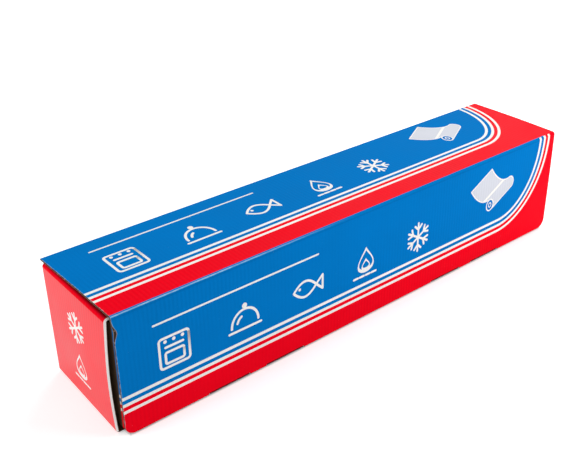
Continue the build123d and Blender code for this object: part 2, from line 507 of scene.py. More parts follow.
def lid_columns(sizes):
    """Columns of the lid's grid along x, closer at its corners, notches and split edge."""
    bend = np.sin(np.linspace(0, pi / 2, ROUND_STEPS + 3))
    corner = lid_high.x - sizes.flap_corner + sizes.flap_corner * bend
    notch_end = sizes.notch_length / 2 - sizes.notch_depth + sizes.notch_depth * bend
    notches = (notch_centres(sizes)[:, None] + np.append(notch_end, -notch_end)).ravel()
    split = lid_low.x + sizes.dent_width * np.linspace(0, 1, SPLIT_STEPS + 1) ** 2
    count = int((lid_high.x - lid_low.x) / COLUMN_STEP)
    even = np.linspace(lid_low.x, lid_high.x, count + 1)
    columns = np.concatenate([even, corner, -corner, notches, -notches, split])
    return np.unique(columns.round(6))


def edge_dent(sizes, line, x, level):
    """Way that the printed face is drawn in where the left edge has split.

    depth * exp(-(d / reach)^2) * (1 - a / width)^2, with d the level past the split's middle and a
    the way in from the edge.
    """
    below = level - top_fold(line) - sizes.dent_level
    bell = np.exp(-((below / sizes.dent_reach) ** 2))
    near = np.clip(1 - (x - lid_low.x) / sizes.dent_width, 0, 1)
    return sizes.dent_depth * bell * near**2


def rear_round(sizes, columns, turn):
    """Round rear edge of the lid: half the board from the hinge line, turned to the back."""
    reach = sizes.board / 2
    x, turn = np.meshgrid(columns + left_inset(sizes, lid_line(sizes), columns, 0.0), turn)
    return np.stack([x, hinge.y + reach * np.sin(turn), hinge.z + reach * np.cos(turn)], axis=-1)


def lid_shell(sizes):
    """Lid as one sheet: the round rear edge, the top, the fold and the flap to its cut foot.

    At the split edge the liner is drawn in a third as far as the printed face.
    """
    line = lid_line(sizes)
    columns = lid_columns(sizes)
    fold_end = line.folds[0][1]
    share = np.clip((line.distance - fold_end) / (line.distance[-1] - fold_end), 0, 1)[:, None]
    flap = flap_foot_level(sizes, columns) - fold_end
    level = np.minimum(line.distance, fold_end)[:, None] + share * flap
    x = np.broadcast_to(columns, level.shape)
    half = sizes.board / 2
    turn = np.linspace(pi / 2, 0, ROUND_STEPS + 1)[:-1]
    dent = edge_dent(sizes, line, x, level)
    face = lid_surface(sizes, x + dent, level, half)
    liner = lid_surface(sizes, x + dent / 3, level, -half)
    outer = np.concatenate([rear_round(sizes, columns, turn), face])
    inner = np.concatenate([rear_round(sizes, columns, pi - turn), liner])
    round_level = np.repeat(-half * turn[:, None], len(columns), axis=1)
    level = np.concatenate([round_level, level])
    uv = np.stack([np.broadcast_to(columns, level.shape), level], axis=-1)
    return board_shell(outer, inner, uv, pinched=True)


def torn_shade_strips(sizes):
    """Dark strips in the notches, shaped as torn paper and coloured in painted shade: strips just
    behind the flap's face with a wavy lower edge.

    A strip's level runs from above the notch down to foot - ragged * (1 + sin(x / wave)) / 2.
    """
    foot = lid_line(sizes).distance[-1]
    half = sizes.board / 2
    reach = sizes.notch_length / 2 - sizes.notch_depth
    strips = []
    for centre in np.append(notch_centres(sizes), -notch_centres(sizes)):
        x = np.linspace(centre - reach, centre + reach, TORN_STEPS + 1)
        edge = foot - sizes.torn_ragged * (1 + np.sin(x / TORN_WAVE)) / 2
        level = np.linspace(foot - 1.5 * sizes.notch_depth, edge, 4)
        x = np.broadcast_to(x, level.shape)
        lifts = (half - sizes.torn_setback, TORN_BACK - half)
        grids = [lid_surface(sizes, x, level, lift) for lift in lifts]
        uv = np.stack([x, level], axis=-1)
        strips.append(board_shell(*grids, uv, TORN_SHADE, TORN_SHADE, TORN_SHADE, TORN_SHADE))
    return strips


# Tray

# Height below which the splay of an end panel fades out towards the floor
FOOT_HEIGHT = 6.0 * MM


def tray_middles(sizes):
    """Middle planes of the tray's panels, and the ends of its walls."""
    half = sizes.board / 2
    dust_x = core_high.x + sizes.end_room + half
    return {
        "front": tray_low.y + half,
        "back": tray_high.y - half,
        "floor": half,
        "lip": lid_high.z - sizes.board - sizes.lip_gap - half,
        "dust": dust_x,
        "end": lid_high.x - half,
        "wall": dust_x - sizes.fold_radius,
    }


def sheet_shell(sizes, line, levels, low, high, axes, outwards, **finishes):
    """Sheet carried along a folded line, from low to high across it, both given for each level.

    Axes names the two axes of the line and then the one across it.
    """
    columns = max(2, int(np.ceil((np.max(high) - np.min(low)) / COLUMN_STEP)) + 1)
    share = np.linspace(0, 1, columns)
    across = low[:, None] + (high - low)[:, None] * share
    grids = []
    for lift in (outwards * sizes.board / 2, -outwards * sizes.board / 2):
        grid = np.empty((len(levels), columns, 3))
        for axis, place in zip(axes, on_line(line, levels, lift)):
            grid[..., axis] = place[:, None]
        grid[..., axes[2]] = across
        grids.append(grid)
    uv = np.stack([across, np.broadcast_to(levels[:, None], across.shape)], axis=-1)
    return board_shell(*grids, uv, **finishes)


def mirrored(shell):
    """The same shell on the other end of the carton."""
    return shell._replace(points=shell.points * (-1, 1, 1))


def wall_shell(sizes):
    """Front wall, floor and back wall in one section, carried along the carton."""
    middle = tray_middles(sizes)
    corners = [
        (middle["front"], sizes.front_top),
        (middle["front"] - sizes.front_lean, middle["floor"]),
        (middle["back"], middle["floor"]),
        (middle["back"], tray_high.z),
    ]
    line = folded_line(corners, sizes.fold_radius, ROW_STEP)
    levels = line.distance
    row_level = (levels[:-1] + levels[1:]) / 2
    on_floor = (row_level > line.folds[0][1]) & (row_level < line.folds[1][0])
    face = np.where(on_floor, BARE, PRINTED)[:, None]
    reach = np.full(len(levels), middle["wall"])
    return sheet_shell(sizes, line, levels, -reach, reach, (1, 2, 0), 1, face=face)


def end_line(sizes):
    """Section of the left end panel: the lip under the lid, the panel, its foot and the floor."""
    middle = tray_middles(sizes)
    corners = [
        (-middle["end"] + sizes.end_lip, middle["lip"]),
        (-middle["end"], middle["lip"]),
        (-middle["end"], middle["floor"]),
        (-middle["wall"], middle["floor"]),
    ]
    return folded_line(corners, (sizes.end_top_radius, sizes.end_foot_radius), ROW_STEP)


def end_reach(sizes):
    """Places of the front edge and the back edge of an end panel."""
    middle = tray_middles(sizes)
    half = sizes.board / 2
    return middle["front"] - half + sizes.end_setback, middle["back"] - half - sizes.end_back_gap


def end_splay(sizes, y, z):
    """Way that an end panel stands off, changing evenly from its back edge to its front edge.

    The back edge leans out with the lid. The front edge leans from its foot to its top and bows
    out between them: foot + (top - foot) h + bow sin(pi h).
    """
    front, back = end_reach(sizes)
    height = np.clip(z / tray_middles(sizes)["lip"], 0, 1)
    lean = sizes.end_foot_splay + (sizes.end_top_splay - sizes.end_foot_splay) * height
    bowed = lean + sizes.end_bow * np.sin(pi * height)
    share = (back - y) / (back - front)
    return share * bowed + (1 - share) * sizes.rear_reach * height


def end_shell(sizes):
    """Left end panel, folded up from the floor, with its lip. It stands off at its front edge."""
    line = end_line(sizes)
    levels = line.distance
    row_level = (levels[:-1] + levels[1:]) / 2
    in_lip, on_foot = row_level < line.folds[0][1], row_level > line.folds[1][1]
    face = np.select([in_lip, on_foot], [END_FOLD, BARE], END_PRINT)
    front, back = end_reach(sizes)
    reach = np.ones(len(levels))
    under = row_level > (line.folds[1][0] + line.folds[1][1]) / 2
    finishes = {"face": face[:, None], "sides": np.where(under, SIDE_EDGE, WHITE_EDGE)}
    shell = sheet_shell(sizes, line, levels, front * reach, back * reach, (0, 2, 1), 1, **finishes)
    x, y, z = shell.points.T
    outer = np.arange(len(x)) < len(x) // 2
    y = y + sizes.end_bevel * outer * (y < front + sizes.end_bevel)
    floor_end = -tray_middles(sizes)["wall"]
    floor_start = line.points[-2, 0]
    on_floor = np.clip((x - floor_start) / (floor_end - floor_start), 0, 1) * (z < FOOT_HEIGHT)
    points = np.stack([x - (1 - on_floor) * end_splay(sizes, y, z), y, z], axis=1)
    return shell._replace(points=points)


def dust_shell(sizes, wall, inwards, top):
    """Left dust flap of a wall: folded in and leaning, with a round free corner.

    It is printed only round its fold.
    """
    middle = tray_middles(sizes)
    corners = [
        (-middle["wall"], middle[wall]),
        (-middle["dust"], middle[wall]),
        (-middle["dust"] + sizes.dust_tilt, middle[wall] + inwards * sizes.dust_width),
    ]
    line = folded_line(corners, sizes.fold_radius, ROW_STEP)
    print_end = line.folds[0][1] + sizes.dust_print
    round_start = line.distance[-1] - sizes.dust_corner
    bend = np.sin(np.linspace(0, pi / 2, ROUND_STEPS + 3))
    levels = np.union1d(line.distance, np.append(round_start + sizes.dust_corner * bend, print_end))
    face = np.where(levels[1:] <= print_end, PRINTED, LINER)[:, None]
    low = np.full(len(levels), sizes.dust_foot)
    high = top - corner_cut(levels - round_start, sizes.dust_corner)
    shell = sheet_shell(
        sizes, line, levels, low, high, (0, 1, 2), -inwards, face=face, sides=CUT_EDGE
    )
    x, y, z = shell.points.T
    lean = sizes.front_lean * (wall == "front") * np.clip(1 - z / top, 0, 1)
    return shell._replace(points=np.stack([x, y - lean, z], axis=1))


# Ink shapes, as grids of (place, level) points in two rows


def stroke(points, width):
    """Line of even width with round ends.

    The line is carried half a width past each end, where its half width follows a quarter circle
    to nothing.
    """
    points = np.asarray(points, float)
    way = np.gradient(points, axis=0)
    way = way / np.linalg.norm(way, axis=1)[:, None]
    turn = np.linspace(0, pi / 2, STROKE_STEPS)[1:, None]
    half = width / 2
    before = points[0] - way[0] * half * np.sin(turn[::-1])
    after = points[-1] + way[-1] * half * np.sin(turn)
    line = np.concatenate([before, points, after])
    first, last = (np.repeat(end, len(turn), 0) for end in (way[:1], way[-1:]))
    ways = np.concatenate([first, way, last])
    cap = half * np.cos(turn)
    halves = np.concatenate([cap[::-1], np.full((len(points), 1), half), cap])
    side = np.stack([-ways[:, 1], ways[:, 0]], axis=1) * halves
    return np.stack([line - side, line + side])


def straight(start, end, width):
    """Straight stroke from one point to another."""
    return stroke(np.linspace(start, end, 6), width)


def loop(outer, inner):
    """Closed line between two loops of points, each of which ends where it starts."""
    return np.stack([np.asarray(inner, float), np.asarray(outer, float)])


def heading(turn):
    """Unit way at an angle, or at each of many: (cos, sin)."""
    return np.stack([np.cos(turn), np.sin(turn)], axis=-1)


def ellipse(centre, reach, start=0.0, sweep=360.0, steps=40):
    """Points round an ellipse: centre + (reach x * cos, reach y * sin)."""
    turn = np.radians(np.linspace(start, start + sweep, steps + 1))
    return np.array(centre) + np.array(reach) * heading(turn)


def disc(centre, radius):
    """Filled disc: two half circles, from left to right."""
    upper = ellipse(centre, (radius, radius), 180, -180, 20)
    lower = ellipse(centre, (radius, radius), 180, 180, 20)
    return np.stack([lower, upper])


def rounded_frame(centre, size, corner, width):
    """Rectangular line with round corners: four quarter circles, joined by straight runs."""
    way = heading((np.arange(FRAME_STEPS) + 0.25) * 2 * pi / FRAME_STEPS)
    middles = np.array(centre) + (np.array(size) / 2 - corner) * np.sign(way)
    outer = middles + corner * way
    inner = middles + max(corner - width, 0) * way
    return loop(np.append(outer, outer[:1], axis=0), np.append(inner, inner[:1], axis=0))


def drop_line(centre, size, width):
    """Flame line, pointed at its top: x = w sin(t) sin(t / 2) ^ 1.5 and level = h cos(t)."""
    turn = np.linspace(0, 2 * pi, DROP_STEPS + 1)
    flame = np.stack([np.sin(turn) * np.sin(turn / 2) ** 1.5, np.cos(turn)], axis=1)
    outer, inner = np.array(size), np.array(size) - (width, 1.5 * width)
    return loop(centre + outer * flame, centre + inner * flame)


# Pictograms in millimetres about their middle, drawn with one line width

LINE = 1.5


def oven_sign():
    """Cooker front: a case, a window, a handle and three knobs."""
    knobs = [disc((place, 6.9), 1.05) for place in (-5.4, 0.0, 5.4)]
    case = rounded_frame((0, 0), (20, 20), 2.6, LINE)
    window = rounded_frame((0, -3.4), (13, 8.4), 1.9, LINE)
    return [case, window, straight((-5.4, 3.3), (5.4, 3.3), LINE), *knobs]


def dish_sign():
    """Covered dish: a dome with a knob on a plate."""
    dome = stroke(ellipse((0, -4.6), (9.2, 9.8), 0, 180), LINE)
    shine = stroke(ellipse((0, -4.6), (5.6, 6.2), 115, 45, 12), LINE)
    return [dome, shine, straight((-11, -7.4), (11, -7.4), LINE), disc((0, 7.3), 1.7)]


def fish_sign():
    """Fish: two bowed sides that cross at the tail, and an eye."""
    along = np.linspace(0, 1, 30)
    back = np.stack([-11 + 17 * along, 5.2 * np.sin(pi * along) ** 0.9], axis=1)
    belly = back * (1, -1)
    tail = [straight((6, 0), (11, tip), LINE) for tip in (4.6, -4.6)]
    tail.append(straight((11, -4.6), (11, 4.6), LINE))
    return [stroke(back, LINE), stroke(belly, LINE), *tail, disc((-6.6, 1.0), 0.95)]


def flame_sign():
    """Flame over a grate."""
    bars = [straight((place, -9.8), (place + 3.4, -9.8), LINE) for place in (-9.7, -4.7, 0.3, 5.3)]
    return [drop_line((0, 1.2), (9.6, 8.8), LINE), drop_line((0, -1.9), (5.0, 4.2), 1.2), *bars]


def frost_sign():
    """Ice crystal: three long bars, with a pair of short barbs near each end."""
    shapes = []
    for arm in range(6):
        turn = arm * pi / 3 + pi / 6
        way = heading(turn)
        if arm < 3:
            shapes.append(straight(-10 * way, 10 * way, LINE))
        for lean in (-pi / 4, pi / 4):
            shapes.append(straight(5.4 * way, 5.4 * way + 4.2 * heading(turn + lean), LINE))
    return shapes


# Small roll: middle and reach of its open end, free corner and sag of its sheet, slant of its body,
# points along its sheet and line width
ROLL_END = (-2.2, -13.0)
ROLL_REACH = (5.0, 6.0)
ROLL_CORNER = np.array([-29.5, 8.0])
ROLL_SAG = np.array([-17.0, -10.0])
ROLL_SLANT = np.array([26.0, 14.0])
ROLL_SHEET_POINTS = 22
ROLL_LINE = 1.0


def roll_profile(start=0.0, end=1.0):
    """Edge of the small roll's sheet: a sagging curve from its corner, then on over the roll.

    The curve is (1 - u)^2 F + 2 u (1 - u) K + u^2 T, from the corner F by way of the sag K to the
    point T on the ellipse of the roll's end.
    """
    u = np.linspace(0, 1, ROLL_SHEET_POINTS)[:, None]
    rounded = ellipse(ROLL_END, ROLL_REACH, 115, -160, 26)
    sheet = (1 - u) ** 2 * ROLL_CORNER + 2 * u * (1 - u) * ROLL_SAG + u**2 * rounded[0]
    line = np.concatenate([sheet, rounded[1:]])
    return line[int(start * len(line)) : int(end * len(line))]


def roll_fill_sign(start=0.0, end=1.0):
    """Sheet and body of the small roll: its edge carried along the roll's slant."""
    edge = roll_profile(start, end)
    return [np.stack([edge, edge + ROLL_SLANT])]


def roll_line_sign():
    """Outline of the small roll: its sheet's edges, its sides and the rings of its open end."""
    edge = roll_profile()
    near, far = stroke(edge[:ROLL_SHEET_POINTS], ROLL_LINE), stroke(edge + ROLL_SLANT, ROLL_LINE)
    sides = [straight(point, point + ROLL_SLANT, ROLL_LINE) for point in (edge[0], edge[-1])]
    rings = []
    for shares in ((1.0, 0.8), (0.42, 0.27)):
        edges = [ellipse(ROLL_END, np.multiply(ROLL_REACH, share)) for share in shares]
        rings.append(loop(*edges))
    return [near, far, *sides, *rings]


def placed(shapes, centre, scale):
    """Shapes in millimetres, scaled and set about a point of a panel."""
    return [np.asarray(centre) + shape * scale * MM for shape in shapes]


# Stripes on a panel, and the share by which each film of ink lies higher than the one before
STRIPE_COUNT = 3
FILM_STEP = 0.01


def panel_curve(layout, panel, level):
    """Start, reach and drop below its centre of a panel's rising curve for a level of the print."""
    start, reach, shift = layout.curve_start, layout.curve_reach, 0.0
    if panel == "top":
        start, reach, shift = layout.top_start, layout.top_reach, layout.top_shift
    reach -= layout.curve_taper * (level - layout.stripe_low)
    return start, reach, layout.curve_centre - level + shift


def stripe_edge(layout, panel, level, top_level):
    """Edge of a stripe at a level: straight along the panel, then a quarter ellipse to its top.

    Past the curve's start x = start + a sin(t) and level = centre - b cos(t), with b the drop below
    the centre and a the reach, which shrinks with the level.
    """
    start, reach, drop = panel_curve(layout, panel, level)
    last = np.arccos(np.clip((layout.curve_centre - top_level) / drop, -1, 1))
    turn = last * (1 - np.linspace(1, 0, CURVE_STEPS + 1)[1:] ** 2)
    flat = np.linspace(lid_low.x, start, FLAT_STEPS + 1)
    x = np.append(flat, start + reach * np.sin(turn))
    rise = layout.curve_centre - drop * np.append(np.ones(len(flat)), np.cos(turn))
    return np.stack([x, rise], axis=1)


def stripes(layout, panel, top_level):
    """White stripes that run along a panel and sweep up at its right end."""
    shapes = []
    for number in range(STRIPE_COUNT):
        low = layout.stripe_low + number * layout.stripe_pitch
        levels = (low, low + layout.stripe_width)
        shapes.append(np.stack([stripe_edge(layout, panel, level, top_level) for level in levels]))
    return shapes


def panel_signs(layout):
    """Row of kitchen pictograms with a thin rule over them."""
    signs = (oven_sign, dish_sign, fish_sign, flame_sign, frost_sign)
    shapes = []
    for number, sign in enumerate(signs):
        place = layout.row_start + number * layout.row_step
        shapes += placed(sign(), (place, layout.row_level), layout.row_scale)
    rule = [(layout.rule_start, layout.rule_level), (layout.rule_end, layout.rule_level)]
    return [*shapes, stroke(np.linspace(*rule, 30), LINE * MM)]


def lid_ink(sizes, layout, panel, shapes, lift):
    """Thin films of ink on a panel of the lid, closed sheets from their root to their lift."""
    line = lid_line(sizes)
    base = line.distance[-1] if panel == "front" else top_fold(line)
    half = sizes.board / 2
    films = []
    for number, shape in enumerate(shapes):
        x, level = shape[..., 0], base - shape[..., 1]
        outer = lid_surface(sizes, x, level, half + lift * (1 + number * FILM_STEP))
        inner = lid_surface(sizes, x, level, half - layout.ink_root)
        films.append(board_shell(outer, inner, shape, 0, 0, 0, 0))
    return films


def end_ink(sizes, layout, shapes):
    """Thin films of ink on the left end panel, whose place runs from its back to its front."""
    half = sizes.board / 2
    films = []
    for number, shape in enumerate(shapes):
        y, z = -shape[..., 0], shape[..., 1]
        face = -tray_middles(sizes)["end"] - half - end_splay(sizes, y, z)
        lifts = (layout.ink_lift * (1 + number * FILM_STEP), -layout.ink_root)
        grids = [np.stack([face - lift, y, z], axis=-1) for lift in lifts]
        films.append(board_shell(*grids, shape, 0, 0, 0, 0))
    return films


# Roll and core

# Angle over which the loose end of the foil stops, and lengths over 2 pi of the foil's waves
TAIL_EDGE = radians(0.15)
FOIL_WAVES = (21 * MM, 50 * MM)


def tail_step(sizes, angles):
    """Rise of the foil's loose end: a soft ramp off the roll that stops at a sharp edge."""
    ramp = np.clip((angles - sizes.tail_start) / sizes.tail_ramp, 0, 1)
    return sizes.tail_thickness * ramp**2 * (3 - 2 * ramp) * (angles < sizes.tail_end)


def roll_shell(sizes):
    """Wound foil: a barrel with soft waves, ringed ends and the sheet's loose end on top.

    The rings follow (1/2 - cos(2 pi d / pitch) / 2) ^ 6, with d the depth below the barrel.
    """
    even = np.linspace(0, 2 * pi, ROLL_STEPS + 1)[:-1]
    angles = np.union1d(even, sizes.tail_end - np.array([TAIL_EDGE, 0]))
    bore = core_radius + sizes.winding_gap
    side = np.linspace((roll_low.x, roll_radius), (roll_high.x, roll_radius), BARREL_STEPS + 1)
    fall = np.arange(roll_radius, bore, -RING_STEP)[1:]
    ripple = 0.5 - 0.5 * np.cos(2 * pi * (roll_radius - fall) / sizes.turn_pitch)
    depth = sizes.turn_groove * ripple**6
    right = np.stack([roll_high.x - depth, fall], axis=1)
    left = np.stack([roll_low.x + depth, fall], axis=1)[::-1]
    inside = np.linspace((roll_high.x, bore), (roll_low.x, bore), 9)
    profile = np.concatenate([side, right, inside, left])
    on_side = (np.arange(len(profile)) < len(side))[:, None]
    x = profile[:, :1]
    short, long = FOIL_WAVES
    waves = np.sin(x / short + 3 * np.cos(angles)) * np.sin(4 * angles + x / long)
    swell = on_side * (tail_step(sizes, angles) + sizes.foil_wrinkle * (waves - 1) / 2)
    return ring_shell(profile, swell, angles)


def core_shell(sizes):
    """Paper core: a tube with softly rounded mouths."""
    angles = np.linspace(0, 2 * pi, CORE_STEPS + 1)[:-1]
    wall = sizes.core_wall
    bend = np.linspace(0, pi, 9)
    mid = core_radius - wall / 2
    mouth = np.stack([np.sin(bend) * wall / 4, np.cos(bend) * wall / 2], axis=1)
    reach = core_high.x - wall / 4
    right = mouth + (reach, mid)
    left = mouth[::-1] * (-1, 1) + (-reach, mid)
    outside = np.linspace(left[-1], right[0], 41)[1:-1]
    inside = np.linspace(right[-1], left[0], 41)[1:-1]
    profile = np.concatenate([outside, right, inside, left])
    return ring_shell(profile, np.zeros((1, len(angles))), angles)


# Node helpers


def fill(tree, socket, value):
    """Links a socket's source, or sets its value."""
    if isinstance(value, bpy.types.NodeSocket):
        tree.links.new(value, socket)
    else:
        socket.default_value = value


def node(tree, kind, inputs=None, **settings):
    """New node with its settings, and its named or numbered inputs set or linked."""
    made = tree.nodes.new(kind)
    for name, value in settings.items():
        setattr(made, name, value)
    for name, value in (inputs or {}).items():
        fill(tree, made.inputs[name], value)
    return made


def calc(tree, operation, *values, clamped=False):
    """Result of a Math node."""
    inputs = dict(enumerate(values))
    return node(tree, "ShaderNodeMath", inputs, operation=operation, use_clamp=clamped).outputs[0]


def away(tree, value, place):
    """Distance of a value from a place."""
    return calc(tree, "ABSOLUTE", calc(tree, "SUBTRACT", value, place))


def mixed(tree, factor, first, second, way="MIX"):
    """Colour between two others, or the first one changed by the second."""
    inputs = {0: factor, 6: first, 7: second}
    return node(tree, "ShaderNodeMix", inputs, data_type="RGBA", blend_type=way).outputs[2]


def shaded(tree, base, shade):
    """Colour times a shade."""
    return mixed(tree, 1.0, base, shade, "MULTIPLY")


def smooth_step(tree, value, start, end, low=0.0, high=1.0):
    """Smooth change from low to high as a value goes from start to end."""
    inputs = {"Value": value, "From Min": start, "From Max": end, "To Min": low, "To Max": high}
    return node(tree, "ShaderNodeMapRange", inputs, interpolation_type="SMOOTHSTEP").outputs[0]


def noise(tree, vector, scale, detail=3.0, stretch=(1, 1, 1)):
    """Noise value, stretched along the axes."""
    mapping = node(tree, "ShaderNodeMapping", {"Vector": vector, "Scale": stretch})
    inputs = {"Vector": mapping.outputs[0], "Scale": scale, "Detail": detail}
    return node(tree, "ShaderNodeTexNoise", inputs).outputs[0]


def parts(tree, vector):
    """The three parts of a vector."""
    return node(tree, "ShaderNodeSeparateXYZ", {"Vector": vector}).outputs


def object_place(tree):
    """Object coordinates."""
    return node(tree, "ShaderNodeTexCoord").outputs["Object"]


def surface_place(tree):
    """The two surface coordinates of a piece."""
    return parts(tree, node(tree, "ShaderNodeTexCoord").outputs["UV"])


def opaque(channels):
    """Colour with full alpha."""
    return (*channels, 1.0)


# Node groups


def new_group(name, inputs, outputs):
    """Empty shader node group with named sockets, and what it is given and puts out.

    A socket named Place takes a vector, and the others take numbers.
    """
    group = bpy.data.node_groups.new(name, "ShaderNodeTree")
    for way, labels in (("INPUT", inputs), ("OUTPUT", outputs)):
        for label in labels:
            kind = "NodeSocketVector" if label == "Place" else "NodeSocketFloat"
            group.interface.new_socket(label, in_out=way, socket_type=kind)
    given = group.nodes.new("NodeGroupInput").outputs
    result = group.nodes.new("NodeGroupOutput").inputs
    return group, given, result


def use_group(tree, name, build, **inputs):
    """Outputs of a node group placed in a material, with its inputs set or linked.

    The group is built when it is first asked for.
    """
    group = bpy.data.node_groups.get(name) or build(name)
    return node(tree, "ShaderNodeGroup", inputs, node_tree=group).outputs


def flute_lines(name):
    """Washboard of the flutes under a liner: a sine along the board, bent a little by noise."""
    group, given, result = new_group(name, ["Along", "Pitch", "Place"], ["Height", "Shade"])
    drift = calc(group, "MULTIPLY", noise(group, given["Place"], 14.0), 2.5)
    turns = calc(group, "DIVIDE", given["Along"], given["Pitch"])
    phase = calc(group, "MULTIPLY_ADD", turns, 2 * pi, drift)
    height = calc(group, "MULTIPLY_ADD", calc(group, "SINE", phase), 0.5, 0.5)
    patch = smooth_step(group, noise(group, given["Place"], 9.0, 2.0), 0.35, 0.65, 0.35, 1.0)
    depth = calc(group, "MULTIPLY", calc(group, "SUBTRACT", 1.0, height), patch)
    fill(group, result["Height"], calc(group, "MULTIPLY", height, patch))
    fill(group, result["Shade"], calc(group, "MULTIPLY_ADD", depth, -0.055, 1.0))
    return group


def print_wear(name):
    """Ink mottle, small rubbed spots and the unevenness of the gloss."""
    group, given, result = new_group(name, ["Place", "Edge"], ["Rubbed", "Shade", "Roughness"])
    fine = noise(group, given["Place"], 900.0, 4.0)
    coarse = noise(group, given["Place"], 26.0, 4.0)
    spots = calc(group, "MULTIPLY", smooth_step(group, fine, 0.74, 0.80), 0.25)
    patches = smooth_step(group, noise(group, given["Place"], 420.0), 0.4, 0.6)
    at_edge = calc(group, "MULTIPLY", given["Edge"], patches)
    fill(group, result["Rubbed"], calc(group, "MAXIMUM", spots, at_edge))
    shade = calc(group, "MULTIPLY_ADD", coarse, 0.12, 0.915)
    fill(group, result["Shade"], calc(group, "MULTIPLY_ADD", fine, 0.05, shade))
    fill(group, result["Roughness"], calc(group, "MULTIPLY_ADD", coarse, 0.22, 0.3))
    return group


def print_field(name):
    """Mask of the blue field: above a level, and inside a quarter ellipse past the curve's start.

    (past / reach)^2 + (below / drop)^2 < 1, with past the way beyond the start and below the way
    under the centre, neither less than 0.
    """
    labels = ["Along", "Level", "Start", "Reach", "Centre", "Drop"]
    group, given, result = new_group(name, labels, ["Blue"])
    squares = []
    for first, second, reach in (("Along", "Start", "Reach"), ("Centre", "Level", "Drop")):
        way = calc(group, "MAXIMUM", calc(group, "SUBTRACT", given[first], given[second]), 0.0)
        squares.append(calc(group, "POWER", calc(group, "DIVIDE", way, given[reach]), 2.0))
    fill(group, result["Blue"], calc(group, "LESS_THAN", calc(group, "ADD", *squares), 1.0))
    return group


def paper_fibre(name):
    """Mottle and fibres of unprinted paper."""
    group, given, result = new_group(name, ["Place"], ["Shade", "Height"])
    fibre = noise(group, given["Place"], 700.0, 5.0, (1.0, 0.25, 0.6))
    cloud = noise(group, given["Place"], 45.0, 3.0)
    shade = calc(group, "MULTIPLY_ADD", fibre, 0.34, 0.72)
    fill(group, result["Shade"], calc(group, "MULTIPLY_ADD", cloud, 0.2, shade))
    fill(group, result["Height"], fibre)
    return group


def flutes(tree, along, pitch, place):
    """Flute lines placed in a material."""
    return use_group(tree, "Flute lines", flute_lines, Along=along, Pitch=pitch, Place=place)


def fibres(tree, place):
    """Paper fibres placed in a material."""
    return use_group(tree, "Paper fibre", paper_fibre, Place=place)


# Materials

# Specular levels of the matt lid print and of the varnished end panels
PRINT_GLOSS = 0.012
END_GLOSS = 0.5

# Roughness that ink without sheen adds
MATT_ROUGHNESS = 0.32

# Depths of relief for which the bump of a surface stands
PRINT_RELIEF = 0.05 * MM
PAPER_RELIEF = 0.06 * MM
RIM_RELIEF = 0.08 * MM
EDGE_RELIEF = 0.2 * MM
FOIL_RELIEF = 0.2 * MM
STEEL_RELIEF = 0.02 * MM
PLY_RELIEF = 0.15 * MM

# Levels past the top fold of the cracked ink and of the crease under it, and the painted shade of
# that crease
CRACK_LEVEL = 0.85 * MM
CREASE_LEVEL = 2.3 * MM
CREASE_SHADE = (0.45, 0.45, 0.45, 1.0)

# Slant of the washboard in an ink film
FLUTE_LEAN = 0.02


def new_material(name, roughness, specular, metallic=0.0):
    """Material with one shader, its node tree and its shader."""
    material = bpy.data.materials.new(name)
    material.use_nodes = True
    tree = material.node_tree
    shader = tree.nodes["Principled BSDF"]
    shader.inputs["Roughness"].default_value = roughness
    shader.inputs["Specular IOR Level"].default_value = specular
    shader.inputs["Metallic"].default_value = metallic
    return material, tree, shader


def dress(tree, shader, tint, height, depth, strength=1.0):
    """Gives a shader its colour, and bump from a height of 0 to 1 that stands for a depth."""
    fill(tree, shader.inputs["Base Color"], tint)
    inputs = {"Height": height, "Distance": depth, "Strength": strength}
    fill(tree, shader.inputs["Normal"], node(tree, "ShaderNodeBump", inputs).outputs[0])


def print_finish(tree, shader, ink, worn, place, along, edge, pitch, matt=0.0):
    """Finish of all prints: mottled ink with rubbed spots over the washboard of the flutes.

    Matt is 1 where the ink has no sheen, and 0 elsewhere.
    """
    wear = use_group(tree, "Print wear", print_wear, Place=place, Edge=edge)
    flute = flutes(tree, along, pitch, place)
    rubbed = mixed(tree, wear["Rubbed"], ink, worn)
    shade = calc(tree, "MULTIPLY", wear["Shade"], flute["Shade"])
    rough = calc(tree, "MULTIPLY_ADD", matt, MATT_ROUGHNESS, wear["Roughness"], clamped=True)
    fill(tree, shader.inputs["Roughness"], rough)
    dress(tree, shader, shaded(tree, rubbed, shade), flute["Height"], PRINT_RELIEF)


